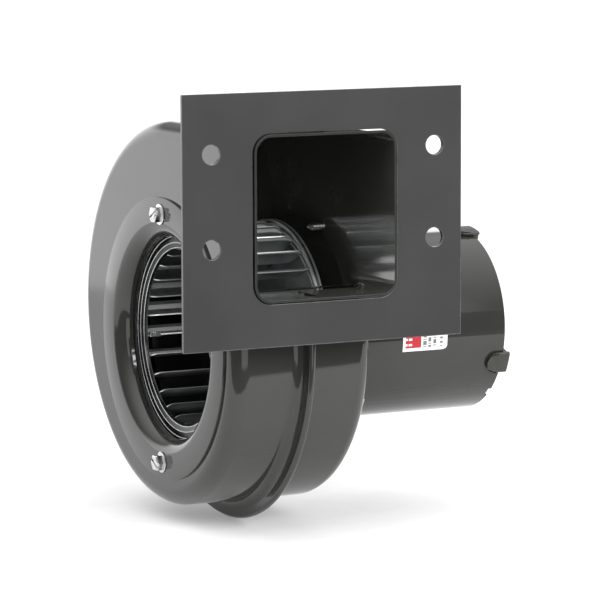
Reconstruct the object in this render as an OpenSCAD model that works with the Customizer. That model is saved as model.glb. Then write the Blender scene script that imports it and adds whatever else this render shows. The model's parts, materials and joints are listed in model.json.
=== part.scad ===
// Combustion blower: a two-piece pressed scroll housing with a rectangular outlet flange,
// a forward-curved wheel and a four-pole shaded-pole motor, all on one shaft along X.
// Origin: centre of the four flange holes, on the flange's front face. +Z is up, the air
// leaves towards -Y, the inlet faces -X and the motor stands out towards +X. Millimetres.

/* [Outlet flange] */
// Width of the flange plate, along X
flange_w = 127; // [110:0.5:150]
// Height of the flange plate, along Z
flange_h = 103.3; // [95:0.1:120]
// Thickness of the flange plate
flange_t = 1.9; // [1.2:0.1:3]
// Hole spacing along X
hole_dx = 101.6; // [90:0.1:110]
// Hole spacing along Z
hole_dz = 38.1; // [30:0.1:50]
// Diameter of the flange holes
hole_d = 7.94; // [6:0.01:9]
// Height of the hole pattern's centre above the plate's centre
hole_rise = 8.45; // [0:0.05:12]

/* [Scroll housing] */
// Thickness of the housing's sheet steel
sheet = 1.0; // [0.8:0.1:1.2]
// Depth of the inlet half, from the seam to its outer face
inlet_depth = 32; // [30:0.1:35]
// Depth of the motor half, from the seam to its outer face
motor_depth = 32.8; // [30:0.1:35]
// Height of the outlet neck, outside
neck_h = 68.1; // [60:0.1:72]
// Height of the outlet neck's centre above the origin
neck_rise = -8; // [-12:0.1:-4]
// Distance from the flange's front face back to the shaft
shaft_back = 87.5; // [80:0.5:95]
// Distance from the hole pattern's centre down to the shaft
shaft_drop = 66.4; // [60:0.1:72]
// Corner radius of the inlet half, outside
inlet_corner = 7.5; // [5:0.5:10]
// Corner radius of the motor half, outside
motor_corner = 6.5; // [4:0.5:8]
// Height of the standing seam flange above the scroll wall
seam_h = 8; // [6.5:0.5:10]
// Radius of the inlet half's flare into the seam flange
seam_flare = 4.2; // [3:0.1:4.5]
// How far the neck's edge stands in front of the flange plate
neck_lip = 0.8; // [0.2:0.1:1.5]

/* [Inlet ring] */
// Outer radius of the inlet ring
ring_r = 60.3; // [56:0.1:60.5]
// Radius of the inlet's throat
throat_r = 43.3; // [40:0.1:43.5]
// Outer radius of the bell-mouth's curve
bell_r = 6.7; // [5:0.1:6.9]

/* [Blower wheel] */
// Outer radius of the wheel
wheel_r = 48.4; // [46:0.1:49]
// Inner radius of the blades
blade_in_r = 38; // [36:0.1:39]
// Number of blades
blade_count = 28; // [24:1:36]
// Wheel's inlet end, along X
wheel_x0 = -24.2; // [-24.6:0.1:-22]
// Wheel's motor end, along X
wheel_x1 = 22.6; // [20:0.1:24]

/* [Motor] */
// Outer radius of the motor shell
shell_r = 39.6; // [38:0.1:41]
// Motor shell's rear end, along X
shell_x1 = 113; // [110:0.5:120]
// Diameter of the shaft
shaft_d = 7.94; // [7.9:0.01:7.96]
// Radial clearance between shaft and bearing
bearing_gap = 0.03; // [0.02:0.01:0.05]
// Radial air gap between rotor and stator
air_gap = 0.35; // [0.3:0.05:0.5]

/* [Hidden] */
$fn = 96;
eps = 0.01;

// Neck and plate
neck_top = neck_rise + neck_h / 2;
neck_bottom = neck_rise - neck_h / 2;
neck_mid_x = (motor_depth - inlet_depth) / 2;
cutout_gap = 0.5;
cutout_corner = 8;
weld_leg = 1.6;
weld_len = 16;

// Scroll arcs, each [centre along Y, centre along Z, radius, start angle, sweep] about the
// shaft. Angles run from +Y towards +Z. Neighbouring arcs are tangent, and the last one
// runs into the neck's flat top wall.
arc_bottom = -72;
arc_front_r = 73;
arc_front_y = 4.5;
arc_back_r = 80.5;
arc_back_z = arc_bottom + arc_back_r;
arc_top_r = neck_top + shaft_drop - arc_back_z;
arc_top_y = arc_front_y + arc_back_r - arc_top_r;
SCROLL_ARCS = [
    [arc_front_y, arc_bottom + arc_front_r, arc_front_r, 158, 112],
    [arc_front_y, arc_back_z, arc_back_r, 270, 90],
    [arc_top_y, arc_back_z, arc_top_r, 0, 90],
];
core_r = 58;
hem_t = 3 * sheet;
hem_leg = 4;

// Inlet ring and its screws
ring_x = -inlet_depth;
bell_centre_r = throat_r + bell_r;
inlet_hole_r = bell_centre_r + 0.5;
ring_screw_r = 53.1;
RING_SCREW_ANGLES = [90, -90];
screw_shank_d = 4.1;
screw_len = 9.5;
screw_washer_d = 9;
screw_washer_t = 0.8;
screw_hex = 6.35;
screw_hex_h = 2.9;
screw_slot_w = 1.1;
screw_slot_h = 1.3;

// Motor plate and its screws
plate_r = 57.7;
plate_t = 1.5;
plate_hole_r = 13.5;
plate_x = motor_depth;
motor_hole_r = 49.6;
plate_screw_r = 53.1;
plate_screw_angle = 27.2;

// Wheel
rim_t = 0.8;
rim_band = 3.2;
blade_t = 0.5;
blade_curve_r = 8;
blade_centre = [blade_in_r + 2.4, 7.6];
blade_phase = 7.5;
blade_tip_r = wheel_r - rim_t;
hub_r = 9.5;
hub_x0 = 4;
hub_neck_r = 7;
set_screw_d = 4.8;
set_screw_x = 9;
balance_clip_blades = [27, 8];
balance_clip_x = -21;

// Motor
shell_x0 = plate_x + plate_t;
shell_t = 0.9;
rear_x = shell_x1 - 4;
notch_w = 5;
notch_depth = 1.4;
notch_angle = 229;
shield_t = 1.2;
boss_r = 14.5;
boss_len = 13;
bearing_r = 8;
bearing_len = 10;
felt_r = 12;
felt_len = 5.5;
felt_x = 4.5;
retainer_t = 1;
shaft_hole_r = 5;
shaft_x0 = 3;
shaft_x1 = 108;
stack_x0 = 55;
stack_x1 = 87;
stator_r = shell_r - shell_t - 0.3;
yoke_r = 31;
rotor_r = 21.95;
pole_w = 15;
pole_shoe_h = 3;
bobbin_t = 0.8;
coil_r0 = rotor_r + air_gap + pole_shoe_h + 0.5;
coil_r1 = yoke_r - 2.6;
coil_w = 5.2;
bolt_circle_r = 34.6;
bolt_d = 4.1;
bolt_hex = 6.35;
bolt_hex_h = 3;
bolt_angle = 67.5;
grommet_r = 26;
grommet_angle = 22.5;
clip_r = 41.5;
CLIP_ANGLES = [22, 102, 202, 295];
clip_len = 8;
clip_nose_r = 4.9;
clip_slab_t = 2.6;
pole_angle = 22.5;
label_x0 = 62.5;
label_x1 = 84.2;
label_t = 0.2;

// Placement ------------------------------------------------------------------------------

// Turns a child drawn along Z so that it runs along X, with its own X along Y.
module along_x(x) {
    translate([x, 0, 0]) rotate([90, 0, 90]) children();
}

// The same, centred on the shaft.
module on_shaft(x) {
    translate([0, shaft_back, -shaft_drop]) along_x(x) children();
}

// A ring or disc on the shaft, from x0 to x1.
module shaft_ring(x0, x1, r_out, r_in) {
    on_shaft(x0) difference() {
        cylinder(r = r_out, h = x1 - x0);
        translate([0, 0, -eps]) cylinder(r = r_in, h = x1 - x0 + 2 * eps);
    }
}

// Repeats its child round the shaft, the first at the angle given.
module around(count, first = 0) {
    for (i = [0 : count - 1]) rotate([0, 0, first + i * 360 / count]) children();
}

// Slotted hexagon washer-head screw, pointing along -Z from z = 0, its head above.
module hex_washer_screw(length) {
    difference() {
        union() {
            cylinder(d = screw_washer_d, h = screw_washer_t);
            cylinder(d = screw_hex / cos(30), h = screw_washer_t + screw_hex_h, $fn = 6);
        }
        translate([-screw_hex, -screw_slot_w / 2, screw_washer_t + screw_hex_h - screw_slot_h])
            cube([2 * screw_hex, screw_slot_w, screw_slot_h + eps]);
    }
    translate([0, 0, -length + 2]) cylinder(d = screw_shank_d, h = length - 2 + eps);
    translate([0, 0, -length]) cylinder(d1 = 1, d2 = screw_shank_d, h = 2);
}

// Scroll ---------------------------------------------------------------------------------

// Half section of the scroll: radius along X, depth along Y, its far corner rounded.
module half_section(r, w, c) {
    square([r - c, w]);
    square([r, w - c]);
    translate([r - c, w - c]) circle(c);
}

// Sweeps a profile drawn for a wall at radius 0 round the scroll, along the neck's top
// wall and along its bottom wall. X of the profile points out of the housing.
module sweep_wall(y0) {
    for (a = SCROLL_ARCS)
        translate([a[0], a[1], 0]) rotate_extrude(angle = a[4], start = a[3])
            translate([a[2], 0]) children();
    front = y0 - shaft_back;
    translate([front, neck_top + shaft_drop, 0]) rotate([90, 0, 90])
        linear_extrude(arc_top_y - front) children();
    translate([front, neck_bottom + shaft_drop, 0]) mirror([0, 1, 0]) rotate([90, 0, 90])
        linear_extrude(26) children();
}

// The scroll and neck as a filled solid, inset by g, from z = 0 to the half's face.
module scroll_fill(g, depth, corner, y0) {
    w = depth - g;
    c = corner - g;
    cylinder(r = core_r, h = w);
    for (a = SCROLL_ARCS)
        translate([a[0], a[1], 0]) rotate_extrude(angle = a[4], start = a[3])
            half_section(a[2] - g, w, c);
    front = y0 - shaft_back;
    bottom = neck_bottom + shaft_drop + g;
    top = neck_top + shaft_drop - g;
    translate([front, 0, 0]) rotate([90, 0, 90]) linear_extrude(arc_top_y - front) {
        translate([bottom, 0]) square([top - bottom, w - c]);
        translate([bottom + c, 0]) square([top - bottom - 2 * c, w]);
        for (z = [bottom + c, top - c]) translate([z, w - c]) circle(c);
    }
}

// Section of the inlet half's flare, outside surface, drawn for a wall at x = 0.
module flare_section(r) {
    difference() {
        translate([-2, 0]) square([2 + seam_flare, sheet + seam_flare]);
        translate([seam_flare, sheet + seam_flare]) circle(r);
    }
}

// Section of the inlet half's seam flange with its hem folded over the other flange.
module hem_section() {
    translate([-0.5, 0]) square([seam_h + 0.5 - hem_t / 2, sheet]);
    translate([seam_h - hem_leg, -2 * sheet]) square([hem_leg - hem_t / 2, sheet]);
    translate([seam_h - hem_t / 2, -sheet / 2]) circle(d = hem_t);
}

// Section of the motor half's seam flange.
module flat_flange_section() {
    translate([-0.5, -sheet]) square([seam_h - hem_t / 2 + 1, sheet]);
}

// Pressed half of the scroll on the inlet side, as a solid growing along +Z from the seam.
module inlet_half_blank() {
    difference() {
        union() {
            scroll_fill(0, inlet_depth, inlet_corner, -neck_lip);
            sweep_wall(flange_t) {
                flare_section(seam_flare);
            }
            sweep_wall(flange_t) {
                hem_section();
            }
        }
        translate([0, 0, -eps]) scroll_fill(sheet, inlet_depth, inlet_corner, -10);
        translate([0, 0, -eps]) sweep_wall(flange_t + 3) {
            flare_section(seam_flare + sheet);
        }
        sweep_wall(flange_t - 3) {
            flat_flange_section();
        }
        mirror([0, 0, 1]) scroll_fill(0, motor_depth, motor_corner, -10);
        translate([0, 0, -eps]) cylinder(r = inlet_hole_r, h = inlet_depth + 1);
        neck_mouth();
    }
}

// Space in front of the flange plate, outside the neck, kept clear of the seam flange.
module neck_mouth() {
    translate([-shaft_back - 20 + flange_t, 0, -5]) difference() {
        translate([0, -20, 0]) cube([20, 140, 20]);
        translate([-1, neck_bottom + shaft_drop, -1]) cube([22, neck_h, 22]);
    }
}

module scroll_inlet_half() {
    color([0.32, 0.32, 0.32]) difference() {
        mirror([1, 0, 0]) on_shaft(0) inlet_half_blank();
        for (a = RING_SCREW_ANGLES)
            ring_screw_place(a) cylinder(d = screw_shank_d, h = 20, center = true);
    }
}

// Pressed half of the scroll on the motor side, with a flat seam flange.
module scroll_motor_half() {
    color([0.32, 0.32, 0.32]) on_shaft(0) difference() {
        union() {
            scroll_fill(0, motor_depth, motor_corner, -neck_lip);
            sweep_wall(flange_t) mirror([0, 1]) {
                flat_flange_section();
            }
        }
        translate([0, 0, -eps]) scroll_fill(sheet, motor_depth, motor_corner, -10);
        translate([0, 0, -eps]) cylinder(r = motor_hole_r, h = motor_depth + 1);
        neck_mouth();
        around(4, 90 + plate_screw_angle) translate([plate_screw_r, 0, motor_depth])
            cylinder(d = screw_shank_d, h = 10, center = true);
    }
}

// Outlet flange --------------------------------------------------------------------------

// Rounded rectangle in X and Z, from the section's own origin.
module rounded_rect(w, h, c) {
    square([w - 2 * c, h], center = true);
    square([w, h - 2 * c], center = true);
    for (x = [-1, 1], z = [-1, 1])
        translate([x * (w / 2 - c), z * (h / 2 - c)]) circle(c);
}

// Extrudes a section drawn in X and Z back from the flange's front face.
module back_from_face(y, t) {
    translate([0, y + t, 0]) rotate([90, 0, 0]) linear_extrude(t) children();
}

module outlet_flange() {
    color([0.31, 0.31, 0.31]) difference() {
        translate([-flange_w / 2, 0, -hole_rise - flange_h / 2])
            cube([flange_w, flange_t, flange_h]);
        translate([neck_mid_x, 0, neck_rise]) back_from_face(-1, flange_t + 2)
            rounded_rect(inlet_depth + motor_depth + 2 * cutout_gap,
                neck_h + 2 * cutout_gap, cutout_corner);
        for (x = [-1, 1], z = [-1, 1])
            translate([x * hole_dx / 2, -1, z * hole_dz / 2]) rotate([-90, 0, 0])
                cylinder(d = hole_d, h = flange_t + 2);
    }
}

// Four short weld beads behind the plate, in the corner between it and the neck's sides.
module neck_weld_beads() {
    color([0.3, 0.3, 0.3]) for (side = [-1, 1], z = [-1, 1])
        translate([side < 0 ? -inlet_depth : motor_depth, flange_t, neck_rise + z * neck_h / 4 - weld_len / 2])
            mirror([side < 0 ? 1 : 0, 0, 0])
                linear_extrude(weld_len) difference() {
                    square([weld_leg, weld_leg]);
                    translate([weld_leg, weld_leg]) circle(weld_leg * 0.9);
                }
}

// Inlet ring -----------------------------------------------------------------------------

// Section of the ring: radius along X, depth out of the housing along Y.
module ring_section() {
    bell_y = sheet - bell_r;
    translate([bell_centre_r, 0]) square([ring_r - bell_centre_r, sheet]);
    intersection() {
        translate([bell_centre_r, bell_y]) difference() {
            circle(bell_r);
            circle(bell_r - sheet);
        }
        translate([0, bell_y]) square([bell_centre_r + eps, bell_r + 1]);
    }
}

module inlet_ring() {
    color([0.36, 0.36, 0.36]) difference() {
        mirror([1, 0, 0]) on_shaft(-ring_x) rotate_extrude() ring_section();
        for (a = RING_SCREW_ANGLES)
            ring_screw_place(a) cylinder(d = screw_shank_d, h = 20, center = true);
    }
}

// Places a child on the ring's screw circle, pointing out of the inlet along -X. The
// angle is counted from the front, upwards.
module ring_screw_place(angle) {
    translate([ring_x - sheet, shaft_back, -shaft_drop]) rotate([-angle, 0, 0])
        translate([0, -ring_screw_r, 0]) rotate([0, -90, 0]) children();
}

module inlet_ring_screws() {
    color([0.8, 0.8, 0.78]) for (a = RING_SCREW_ANGLES)
        ring_screw_place(a) rotate([0, 0, a / 3]) hex_washer_screw(screw_len);
}

// Motor plate ----------------------------------------------------------------------------

module motor_plate() {
    color([0.3, 0.3, 0.3]) on_shaft(plate_x) difference() {
        cylinder(r = plate_r, h = plate_t);
        translate([0, 0, -1]) cylinder(r = plate_hole_r, h = plate_t + 2);
        around(4, 90 + plate_screw_angle) translate([plate_screw_r, 0, -1])
            cylinder(d = screw_shank_d, h = plate_t + 2);
        around(4, bolt_angle) translate([bolt_circle_r, 0, -1])
            cylinder(d = bolt_d, h = plate_t + 2);
    }
}

module motor_plate_screws() {
    color([0.8, 0.8, 0.78]) on_shaft(plate_x + plate_t) around(4, 90 + plate_screw_angle)
        translate([plate_screw_r, 0, 0]) hex_washer_screw(screw_len + 0.5);
}

// Motor case -----------------------------------------------------------------------------

module motor_shell() {
    color([0.31, 0.31, 0.32]) difference() {
        shaft_ring(shell_x0, shell_x1, shell_r, shell_r - shell_t);
        on_shaft(shell_x1) around(2, notch_angle) translate([shell_r, 0, 0])
            cube([6, notch_w, 2 * notch_depth], center = true);
    }
}

// Bearing housing of an end shield, growing along +Z from the shield's outer face.
module bearing_boss() {
    difference() {
        cylinder(r = boss_r, h = boss_len);
        translate([0, 0, -1]) cylinder(r = shaft_hole_r, h = boss_len + 2);
        translate([0, 0, 2]) cylinder(r = bearing_r, h = boss_len);
        translate([0, 0, felt_x]) cylinder(r = felt_r, h = boss_len);
    }
}

// An end shield with its boss, rim and ring of curved vent slots, growing along +Z.
module end_shield(rim_len, slots) {
    difference() {
        union() {
            cylinder(r = shell_r - shell_t, h = shield_t);
            cylinder(r = shell_r - shell_t, h = rim_len);
        }
        translate([0, 0, shield_t]) cylinder(r = shell_r - shell_t - 1.2, h = rim_len);
        translate([0, 0, -1]) cylinder(r = boss_r - 1, h = 4);
        around(4, bolt_angle) translate([bolt_circle_r, 0, -1]) cylinder(d = bolt_d, h = 8);
        around(slots) vent_slot();
    }
    bearing_boss();
}

// One radial vent slot with round ends.
module vent_slot() {
    translate([18.5, -1.6, -1]) cube([7, 3.2, 4]);
    for (x = [18.5, 25.5]) translate([x, 0, -1]) cylinder(d = 3.2, h = 4);
}

module front_end_shield() {
    color([0.5, 0.5, 0.5]) on_shaft(shell_x0) end_shield(7, 0);
}

module rear_end_shield() {
    color([0.3, 0.3, 0.3]) difference() {
        on_shaft(rear_x) mirror([0, 0, 1]) end_shield(7, 8);
        on_shaft(rear_x) around(1, grommet_angle) translate([grommet_r, 0, 0])
            cylinder(r = 5, h = 12, center = true);
    }
}

// Places a child at the outer face of the front (0) or rear (1) end shield, inwards.
module at_shield(rear) {
    if (rear == 0) on_shaft(shell_x0) children();
    else on_shaft(rear_x) mirror([0, 0, 1]) children();
}

// Sintered bronze sleeve bearing.
module sleeve_bearing(rear) {
    color([0.72, 0.52, 0.3]) at_shield(rear) translate([0, 0, 2]) difference() {
        cylinder(r = bearing_r, h = bearing_len);
        translate([0, 0, -1]) cylinder(d = shaft_d + 2 * bearing_gap, h = bearing_len + 2);
    }
}

module oil_felt(rear) {
    color([0.75, 0.72, 0.66]) at_shield(rear) translate([0, 0, felt_x]) difference() {
        cylinder(r = felt_r, h = felt_len);
        translate([0, 0, -1]) cylinder(r = bearing_r, h = felt_len + 2);
    }
}

module felt_retainer(rear) {
    color([0.7, 0.7, 0.7]) at_shield(rear) translate([0, 0, felt_x + felt_len]) difference() {
        cylinder(r = felt_r, h = retainer_t);
        translate([0, 0, -1]) cylinder(r = bearing_r, h = retainer_t + 2);
    }
}

module front_bearing() { sleeve_bearing(0); }
module rear_bearing() { sleeve_bearing(1); }
module front_oil_felt() { oil_felt(0); }
module rear_oil_felt() { oil_felt(1); }
module front_felt_retainer() { felt_retainer(0); }
module rear_felt_retainer() { felt_retainer(1); }

// Stator ---------------------------------------------------------------------------------

// Section of the stator: a yoke with four poles, their shoes and four bolt holes.
module stator_section() {
    bore = rotor_r + air_gap;
    difference() {
        circle(stator_r);
        difference() {
            circle(yoke_r);
            around(4, pole_angle) {
                translate([0, -pole_w / 2]) square([yoke_r + 1, pole_w]);
                pole_shoe(bore + pole_shoe_h);
            }
        }
        circle(bore);
        around(4, bolt_angle) translate([bolt_circle_r, 0]) circle(d = bolt_d);
    }
}

// One pole's shoe, a sector of the radius given.
module pole_shoe(r) {
    half_angle = 36;
    intersection() {
        circle(r);
        polygon([[0, 0], 2 * r * [cos(half_angle), -sin(half_angle)],
            2 * r * [cos(half_angle), sin(half_angle)]]);
    }
}

module stator_core() {
    color([0.55, 0.56, 0.58]) on_shaft(stack_x0)
        linear_extrude(stack_x1 - stack_x0) stator_section();
}

// A rectangular frame round one pole, from radius r0 to r1, grown by g0 to g1 round it.
module pole_frame(r0, r1, g0, g1) {
    stack = stack_x1 - stack_x0;
    translate([r0, 0, stack / 2]) rotate([0, 90, 0]) linear_extrude(r1 - r0) difference() {
        square([stack + 2 * g1, pole_w + 2 * g1], center = true);
        square([stack + 2 * g0, pole_w + 2 * g0], center = true);
    }
}

module coil_bobbins() {
    color([0.9, 0.88, 0.8]) on_shaft(stack_x0) around(4, pole_angle) {
        pole_frame(coil_r0, coil_r1, 0, bobbin_t);
        pole_frame(coil_r0, coil_r0 + bobbin_t, 0, coil_w - 1.5);
        pole_frame(coil_r1 - bobbin_t, coil_r1, 0, coil_w - 1.5);
    }
}

module stator_coils() {
    color([0.72, 0.4, 0.2]) on_shaft(stack_x0) around(4, pole_angle)
        pole_frame(coil_r0 + bobbin_t, coil_r1 - bobbin_t, bobbin_t, coil_w);
}

// Copper shading rings, one set into the edge of each pole shoe at both of its ends.
module shading_rings() {
    stack = stack_x1 - stack_x0;
    color([0.75, 0.42, 0.22]) on_shaft(stack_x0) around(4, pole_angle + 27)
        for (z = [-1.2, stack]) rotate([0, 0, -7]) rotate_extrude(angle = 14)
            translate([rotor_r + air_gap + 0.6, z]) square([1.8, 1.2]);
}

module thermal_protector() {
    color([0.15, 0.15, 0.16]) on_shaft(stack_x1 + coil_w) around(1, pole_angle)
        translate([coil_r0 + 0.2, -5, 0]) cube([4, 10, 3]);
}

// Fasteners, grommet, clips and label -----------------------------------------------------

module through_bolts() {
    x0 = plate_x - bolt_hex_h;
    color([0.78, 0.78, 0.76]) on_shaft(x0) around(4, bolt_angle)
        translate([bolt_circle_r, 0, 0]) {
            cylinder(d = bolt_hex / cos(30), h = bolt_hex_h, $fn = 6);
            cylinder(d = bolt_d, h = rear_x + 3.6 - x0);
        }
}

module through_bolt_nuts() {
    color([0.78, 0.78, 0.76]) on_shaft(rear_x) around(4, bolt_angle)
        translate([bolt_circle_r, 0, 0]) difference() {
            cylinder(d = bolt_hex / cos(30), h = bolt_hex_h, $fn = 6);
            translate([0, 0, -1]) cylinder(d = bolt_d, h = bolt_hex_h + 2);
        }
}

// Rubber grommet for the motor's leads, in the rear end shield.
module lead_grommet() {
    color([0.08, 0.08, 0.08]) on_shaft(rear_x) around(1, grommet_angle)
        translate([grommet_r, 0, 0]) difference() {
            union() {
                cylinder(r = 6.5, h = 1.8);
                translate([0, 0, -shield_t]) cylinder(r = 5, h = shield_t + 1);
                translate([0, 0, -shield_t - 1.6]) cylinder(r = 6.2, h = 1.6);
            }
            translate([0, 0, -6]) cylinder(r = 3, h = 12);
        }
}

// Moulded clips hooked over the shell's rear rim, each with a round-nosed pad outside the
// shell and a narrower slab behind its edge.
module end_clips() {
    nose_x = shell_x1 - clip_len + clip_nose_r;
    color([0.17, 0.18, 0.15]) for (a = CLIP_ANGLES) intersection() {
        shaft_ring(nose_x - clip_nose_r - 1, shell_x1 + clip_slab_t, clip_r, shell_r - 5);
        on_shaft(nose_x) rotate([0, 0, a]) rotate([0, 90, 0]) union() {
            translate([0, 0, shell_r]) linear_extrude(6) clip_outline(nose_x);
            translate([-shell_x1 - clip_slab_t + nose_x, 0.8 - clip_nose_r, shell_r - 7])
                cube([clip_slab_t, 2 * clip_nose_r - 1.6, 8]);
        }
    }
}

// Plan of a clip's pad: a half-round nose with straight sides back to the slab.
module clip_outline(nose_x) {
    circle(clip_nose_r);
    translate([nose_x - shell_x1 - clip_slab_t, -clip_nose_r])
        square([shell_x1 + clip_slab_t - nose_x, 2 * clip_nose_r]);
}

module rating_label() {
    color([0.92, 0.92, 0.92]) on_shaft(label_x0) rotate_extrude(angle = 41, start = 149.5)
        translate([shell_r, 0]) square([label_t, label_x1 - label_x0]);
}

// Rotor and wheel ------------------------------------------------------------------------

module shaft() {
    color([0.75, 0.76, 0.78]) on_shaft(shaft_x0) cylinder(d = shaft_d, h = shaft_x1 - shaft_x0);
}

// Section of one forward-curved blade, a crescent whose root is on the X axis.
module blade_section() {
    difference() {
        intersection() {
            translate(blade_centre) difference() {
                circle(blade_curve_r + blade_t / 2);
                circle(blade_curve_r - blade_t / 2);
            }
            translate([blade_in_r - 1, -2]) square([blade_tip_r, 7]);
            circle(blade_tip_r);
        }
        circle(blade_in_r);
    }
}

module wheel_blades() {
    color([0.62, 0.65, 0.64]) on_shaft(wheel_x0 + rim_t)
        around(blade_count, blade_phase)
        linear_extrude(wheel_x1 - wheel_x0 - 2 * rim_t) blade_section();
}

module wheel_inlet_rim() {
    color([0.66, 0.68, 0.68]) union() {
        shaft_ring(wheel_x0, wheel_x0 + rim_t, wheel_r, blade_in_r - 0.6);
        shaft_ring(wheel_x0, wheel_x0 + rim_band, wheel_r, blade_tip_r);
    }
}

// Back disc of the wheel with its outer band and a raised ring that stiffens it.
module wheel_back_disc() {
    color([0.66, 0.68, 0.68]) union() {
        shaft_ring(wheel_x1 - rim_t, wheel_x1, wheel_r, hub_neck_r);
        shaft_ring(wheel_x1 - rim_band, wheel_x1, wheel_r, blade_tip_r);
        shaft_ring(wheel_x1, wheel_x1 + 1.2, 26, 24.8);
    }
}

module wheel_hub() {
    color([0.6, 0.6, 0.6]) difference() {
        union() {
            shaft_ring(hub_x0, wheel_x1 - rim_t, hub_r, shaft_d / 2);
            shaft_ring(hub_x0, wheel_x1 + 0.8, hub_neck_r, shaft_d / 2);
        }
        on_shaft(set_screw_x) rotate([-90, 0, 0]) cylinder(d = set_screw_d, h = hub_r + 1);
    }
}

module hub_set_screw() {
    color([0.2, 0.2, 0.2]) on_shaft(set_screw_x) rotate([-90, 0, 0]) difference() {
        translate([0, 0, shaft_d / 2]) cylinder(d = set_screw_d, h = 6);
        translate([0, 0, shaft_d / 2 + 4]) cylinder(d = 2.7, h = 3, $fn = 6);
    }
}

// Spring-steel clips pinched on the inner edges of two blades to balance the wheel.
module wheel_balance_clips() {
    color([0.75, 0.76, 0.78]) on_shaft(balance_clip_x) for (i = balance_clip_blades)
        rotate([0, 0, blade_phase + i * 360 / blade_count])
            translate([blade_in_r - 1.1, -2 * blade_t, 0]) difference() {
                cube([1.1, 4 * blade_t, 5]);
                translate([0.6, blade_t, -1]) cube([1, 2 * blade_t, 7]);
            }
}

module rotor_core() {
    color([0.5, 0.5, 0.52]) shaft_ring(stack_x0, stack_x1, rotor_r, shaft_d / 2);
}

// Cast aluminium end rings with short fins.
module rotor_cage() {
    color([0.78, 0.79, 0.8]) union() {
        shaft_ring(stack_x0 - 3, stack_x0, rotor_r - 1, 13);
        shaft_ring(stack_x1, stack_x1 + 3, rotor_r - 1, 13);
        for (x = [stack_x0 - 5.5, stack_x1 + 3])
            on_shaft(x) around(8) translate([14, -0.8, 0]) cube([6, 1.6, 2.5]);
    }
}

module front_thrust_washer() {
    x = shell_x0 + 2 + bearing_len + 0.3;
    color([0.85, 0.85, 0.8]) shaft_ring(x, x + 1, 7, shaft_d / 2);
}

module rear_thrust_washer() {
    x = rear_x - 2 - bearing_len - 0.3;
    color([0.85, 0.85, 0.8]) shaft_ring(x - 1, x, 7, shaft_d / 2);
}

// Retaining rings that hold the thrust washers, one on each side of the rotor.
module shaft_retaining_rings() {
    front = shell_x0 + 2 + bearing_len + 1.3;
    rear = rear_x - 2 - bearing_len - 1.3;
    color([0.4, 0.4, 0.42]) {
        shaft_ring(front, front + 0.8, 6.2, shaft_d / 2);
        shaft_ring(rear - 0.8, rear, 6.2, shaft_d / 2);
    }
}

outlet_flange();
neck_weld_beads();
scroll_inlet_half();
scroll_motor_half();
inlet_ring();
inlet_ring_screws();
motor_plate();
motor_plate_screws();
motor_shell();
front_end_shield();
rear_end_shield();
front_bearing();
rear_bearing();
front_oil_felt();
rear_oil_felt();
front_felt_retainer();
rear_felt_retainer();
stator_core();
coil_bobbins();
stator_coils();
shading_rings();
thermal_protector();
through_bolts();
through_bolt_nuts();
lead_grommet();
end_clips();
rating_label();
shaft();
wheel_blades();
wheel_inlet_rim();
wheel_back_disc();
wheel_hub();
hub_set_screw();
wheel_balance_clips();
rotor_core();
rotor_cage();
front_thrust_washer();
rear_thrust_washer();
shaft_retaining_rings();
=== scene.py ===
"""Looks for a combustion blower: pressed scroll, outlet flange, squirrel-cage wheel and motor.

Lengths are written in millimetres and turned to metres when a mesh is made. The shaft lies
along X through SHAFT. The inlet faces -X, the motor stands on the +X side and the outlet
faces -Y. Angles round the shaft run in degrees from +Y towards +Z.
"""

import json
import math

import bmesh
import bpy
from mathutils import Matrix, Vector


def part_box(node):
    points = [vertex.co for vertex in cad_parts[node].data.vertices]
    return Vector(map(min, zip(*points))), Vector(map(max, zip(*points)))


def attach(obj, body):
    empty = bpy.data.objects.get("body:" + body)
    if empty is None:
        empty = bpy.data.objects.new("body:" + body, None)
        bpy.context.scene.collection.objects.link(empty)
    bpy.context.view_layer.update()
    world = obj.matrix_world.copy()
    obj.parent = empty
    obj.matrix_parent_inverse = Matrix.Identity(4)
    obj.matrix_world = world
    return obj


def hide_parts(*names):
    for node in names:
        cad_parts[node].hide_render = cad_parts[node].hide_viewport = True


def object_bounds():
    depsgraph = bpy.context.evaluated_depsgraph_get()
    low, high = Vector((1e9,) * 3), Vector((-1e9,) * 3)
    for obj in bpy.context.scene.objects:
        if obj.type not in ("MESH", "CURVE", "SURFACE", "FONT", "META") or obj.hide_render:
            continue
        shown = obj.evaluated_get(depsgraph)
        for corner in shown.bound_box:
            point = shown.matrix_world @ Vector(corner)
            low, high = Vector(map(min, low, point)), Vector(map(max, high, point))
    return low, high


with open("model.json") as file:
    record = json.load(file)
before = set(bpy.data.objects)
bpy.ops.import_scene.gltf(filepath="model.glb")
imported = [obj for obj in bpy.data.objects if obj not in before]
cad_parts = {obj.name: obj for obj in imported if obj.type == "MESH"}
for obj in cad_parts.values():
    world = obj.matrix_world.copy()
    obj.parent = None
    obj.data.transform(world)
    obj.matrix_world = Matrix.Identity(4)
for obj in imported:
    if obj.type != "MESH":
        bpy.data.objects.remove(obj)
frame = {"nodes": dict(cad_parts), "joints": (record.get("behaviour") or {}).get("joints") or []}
cad_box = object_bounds()
scene = bpy.context.scene

MM = 0.001
SHARP_ANGLE = math.radians(34)


def box_mm(node):
    """A CAD node's lowest and highest corners, in millimetres."""
    low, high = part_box(node)
    return low / MM, high / MM


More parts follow.
